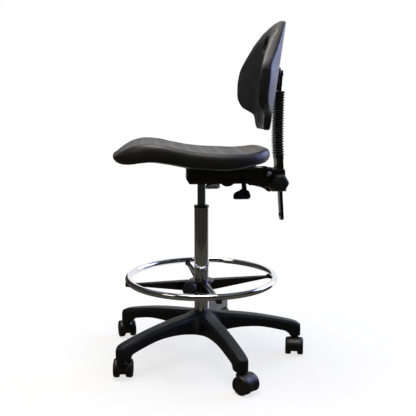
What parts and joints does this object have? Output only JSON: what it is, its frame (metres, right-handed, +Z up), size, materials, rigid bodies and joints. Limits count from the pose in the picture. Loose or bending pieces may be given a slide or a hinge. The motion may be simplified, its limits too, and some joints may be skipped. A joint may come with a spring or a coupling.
{
  "type": "drafting chair",
  "caption": "Swivel drafting chair with a contoured moulded seat, wrap-around backrest on a height-adjustable bar, gas lift, chrome foot ring and star base on twin-wheel castors.",
  "frame": {"origin": "centre of the bounding box seen from above, on the floor that the castors stand on", "axes": "+Z up; the sitter faces -X, so the backrest is at +X; +Y is the sitter's right"},
  "size_m": [0.6666, 0.7402, 1.145],
  "materials": {
    "backrest_skin": "integral-skin polyurethane foam, fine leather-like grain",
    "seat_skin": "integral-skin polyurethane foam, fine grain with moulded bars",
    "base_nylon": "black glass-filled nylon, satin",
    "castor_nylon": "black nylon, satin",
    "castor_steel": "zinc-plated steel",
    "column_chrome": "bright chrome-plated steel tube",
    "lift_steel": "ground steel tube, dark",
    "bush_nylon": "black acetal bush",
    "lift_inner_steel": "ground steel",
    "ring_chrome": "bright chrome-plated steel tube",
    "hub_nylon": "black glass-filled nylon, satin",
    "knob_nylon": "black nylon, fine spark texture",
    "mechanism_paint": "black powder-coated pressed steel",
    "zinc_fittings": "zinc-plated steel",
    "pan_nylon": "black polypropylene",
    "lever_nylon": "black nylon, satin",
    "sleeve_nylon": "black nylon",
    "bellows_rubber": "black moulded rubber"
  },
  "bodies": {
    "base": {"base": "base_nylon", "column_tube": "column_chrome", "column_bush": "bush_nylon", "thrust_bearing": "lift_inner_steel", "castor_1_stem": "castor_steel", "castor_2_stem": "castor_steel", "castor_3_stem": "castor_steel", "castor_4_stem": "castor_steel", "castor_5_stem": "castor_steel"},
    "piston": {"piston_rod": "lift_inner_steel", "rod_clip": "lift_inner_steel"},
    "seat": {"gas_tube": "lift_steel", "taper_socket": "mechanism_paint", "housing": "mechanism_paint", "housing_spacer": "zinc_fittings", "seat_plate": "mechanism_paint", "seat_pan": "pan_nylon", "seat": "seat_skin", "pivot_bolt": "zinc_fittings", "pivot_nut": "zinc_fittings", "lock_spindle": "zinc_fittings", "lock_nut": "zinc_fittings"},
    "release_pin": {"release_pin": "lift_inner_steel"},
    "lift_lever": {"lift_lever_rod": "mechanism_paint", "lift_lever_paddle": "lever_nylon"},
    "lock_lever": {"lock_lever": "lever_nylon"},
    "bracket": {"back_bracket": "mechanism_paint", "guide_sleeve": "sleeve_nylon", "bellows": "bellows_rubber"},
    "link": {"lock_link": "zinc_fittings"},
    "height_knob": {"height_knob": "knob_nylon"},
    "upright": {"upright_bar": "mechanism_paint", "back_mount": "mechanism_paint", "backrest": "backrest_skin", "back_screw_lower": "zinc_fittings", "back_screw_upper": "zinc_fittings"},
    "ring_collar": {"ring_bush": "bush_nylon"},
    "foot_ring": {"foot_ring": "ring_chrome", "ring_hub": "hub_nylon"},
    "ring_knob": {"ring_knob": "knob_nylon"},
    "castor_1": {"castor_1_hood": "castor_nylon", "castor_1_axle": "castor_steel"},
    "castor_1_wheel_left": {"castor_1_wheel_left": "castor_nylon"},
    "castor_1_wheel_right": {"castor_1_wheel_right": "castor_nylon"},
    "castor_2": {"castor_2_hood": "castor_nylon", "castor_2_axle": "castor_steel"},
    "castor_2_wheel_left": {"castor_2_wheel_left": "castor_nylon"},
    "castor_2_wheel_right": {"castor_2_wheel_right": "castor_nylon"},
    "castor_3": {"castor_3_hood": "castor_nylon", "castor_3_axle": "castor_steel"},
    "castor_3_wheel_left": {"castor_3_wheel_left": "castor_nylon"},
    "castor_3_wheel_right": {"castor_3_wheel_right": "castor_nylon"},
    "castor_4": {"castor_4_hood": "castor_nylon", "castor_4_axle": "castor_steel"},
    "castor_4_wheel_left": {"castor_4_wheel_left": "castor_nylon"},
    "castor_4_wheel_right": {"castor_4_wheel_right": "castor_nylon"},
    "castor_5": {"castor_5_hood": "castor_nylon", "castor_5_axle": "castor_steel"},
    "castor_5_wheel_left": {"castor_5_wheel_left": "castor_nylon"},
    "castor_5_wheel_right": {"castor_5_wheel_right": "castor_nylon"}
  },
  "joints": [
    {"name": "seat_swivel", "type": "hinge", "parent": "base", "child": "piston", "pos_m": [-0.02858, 0.00451, 0.095], "axis": [0, 0, 1], "continuous": true},
    {"name": "seat_height", "type": "slide", "parent": "piston", "child": "seat", "axis": [0, 0, 1], "range_m": [-0.06, 0.14]},
    {"name": "release_press", "type": "slide", "parent": "seat", "child": "release_pin", "axis": [0, 0, -1], "range_m": [0, 0.0042]},
    {"name": "lift_lever_raise", "type": "hinge", "parent": "seat", "child": "lift_lever", "pos_m": [-0.02858, 0.04101, 0.6558], "axis": [1, 0, 0], "range_deg": [0, 6], "stiffness_Nm_per_rad": 3, "springref_deg": -4.58},
    {"name": "lock_lever_raise", "type": "hinge", "parent": "seat", "child": "lock_lever", "pos_m": [0.11142, -0.04399, 0.621], "axis": [-1, 0, 0], "range_deg": [0, 45]},
    {"name": "back_tilt", "type": "hinge", "parent": "seat", "child": "bracket", "pos_m": [0.19542, 0.00451, 0.643], "axis": [0, 1, 0], "range_deg": [-3, 20]},
    {"name": "link_swing", "type": "hinge", "parent": "bracket", "child": "link", "pos_m": [0.20242, 0.00451, 0.598], "axis": [0, 1, 0], "range_deg": [-19, 4]},
    {"name": "height_knob_turn", "type": "hinge", "parent": "bracket", "child": "height_knob", "pos_m": [0.23042, -0.05049, 0.614], "axis": [0, -1, 0], "range_deg": [0, 360]},
    {"name": "back_height", "type": "slide", "parent": "bracket", "child": "upright", "axis": [-0.0689, 0, 0.9976], "range_m": [-0.03, 0.07], "deforming": ["bellows"]},
    {"name": "ring_height", "type": "slide", "parent": "base", "child": "ring_collar", "axis": [0, 0, 1], "range_m": [-0.04, 0.12]},
    {"name": "ring_turn", "type": "hinge", "parent": "ring_collar", "child": "foot_ring", "pos_m": [-0.02858, 0.00451, 0.283], "axis": [0, 0, 1], "continuous": true},
    {"name": "ring_knob_turn", "type": "hinge", "parent": "foot_ring", "child": "ring_knob", "pos_m": [-0.07451, -0.04832, 0.253], "axis": [-0.6561, -0.7547, 0], "range_deg": [0, 360]},
    {"name": "castor_1_swivel", "type": "hinge", "parent": "base", "child": "castor_1", "pos_m": [0.30222, -0.00704, 0.065], "axis": [0, 0, 1], "continuous": true},
    {"name": "castor_1_roll_left", "type": "hinge", "parent": "castor_1", "child": "castor_1_wheel_left", "pos_m": [0.27846, -0.01966, 0.029], "axis": [0.9703, -0.2419, 0], "continuous": true},
    {"name": "castor_1_roll_right", "type": "hinge", "parent": "castor_1", "child": "castor_1_wheel_right", "pos_m": [0.31727, -0.02934, 0.029], "axis": [0.9703, -0.2419, 0], "continuous": true},
    {"name": "castor_2_swivel", "type": "hinge", "parent": "base", "child": "castor_2", "pos_m": [0.08463, 0.31555, 0.065], "axis": [0, 0, 1], "continuous": true},
    {"name": "castor_2_roll_left", "type": "hinge", "parent": "castor_2", "child": "castor_2_wheel_left", "pos_m": [0.1012, 0.33675, 0.029], "axis": [-0.9848, -0.1736, 0], "continuous": true},
    {"name": "castor_2_roll_right", "type": "hinge", "parent": "castor_2", "child": "castor_2_wheel_right", "pos_m": [0.0618, 0.32981, 0.029], "axis": [-0.9848, -0.1736, 0], "continuous": true},
    {"name": "castor_3_swivel", "type": "hinge", "parent": "base", "child": "castor_3", "pos_m": [-0.28941, 0.2083, 0.065], "axis": [0, 0, 1], "continuous": true},
    {"name": "castor_3_roll_left", "type": "hinge", "parent": "castor_3", "child": "castor_3_wheel_left", "pos_m": [-0.27284, 0.2295, 0.029], "axis": [-0.9848, -0.1736, 0], "continuous": true},
    {"name": "castor_3_roll_right", "type": "hinge", "parent": "castor_3", "child": "castor_3_wheel_right", "pos_m": [-0.31223, 0.22255, 0.029], "axis": [-0.9848, -0.1736, 0], "continuous": true},
    {"name": "castor_4_swivel", "type": "hinge", "parent": "base", "child": "castor_4", "pos_m": [-0.30299, -0.18058, 0.065], "axis": [0, 0, 1], "continuous": true},
    {"name": "castor_4_roll_left", "type": "hinge", "parent": "castor_4", "child": "castor_4_wheel_left", "pos_m": [-0.28122, -0.16477, 0.029], "axis": [-0.9945, 0.1045, 0], "continuous": true},
    {"name": "castor_4_roll_right", "type": "hinge", "parent": "castor_4", "child": "castor_4_wheel_right", "pos_m": [-0.321, -0.16059, 0.029], "axis": [-0.9945, 0.1045, 0], "continuous": true},
    {"name": "castor_5_swivel", "type": "hinge", "parent": "base", "child": "castor_5", "pos_m": [0.06265, -0.31366, 0.065], "axis": [0, 0, 1], "continuous": true},
    {"name": "castor_5_roll_left", "type": "hinge", "parent": "castor_5", "child": "castor_5_wheel_left", "pos_m": [0.05937, -0.34037, 0.029], "axis": [0.7547, 0.6561, 0], "continuous": true},
    {"name": "castor_5_roll_right", "type": "hinge", "parent": "castor_5", "child": "castor_5_wheel_right", "pos_m": [0.08956, -0.31413, 0.029], "axis": [0.7547, 0.6561, 0], "continuous": true}
  ],
  "couplings": [
    {"joint": "release_press", "follows": "lift_lever_raise", "m_per_rad": 0.0365},
    {"joint": "link_swing", "follows": "back_tilt", "ratio": -0.862}
  ]
}
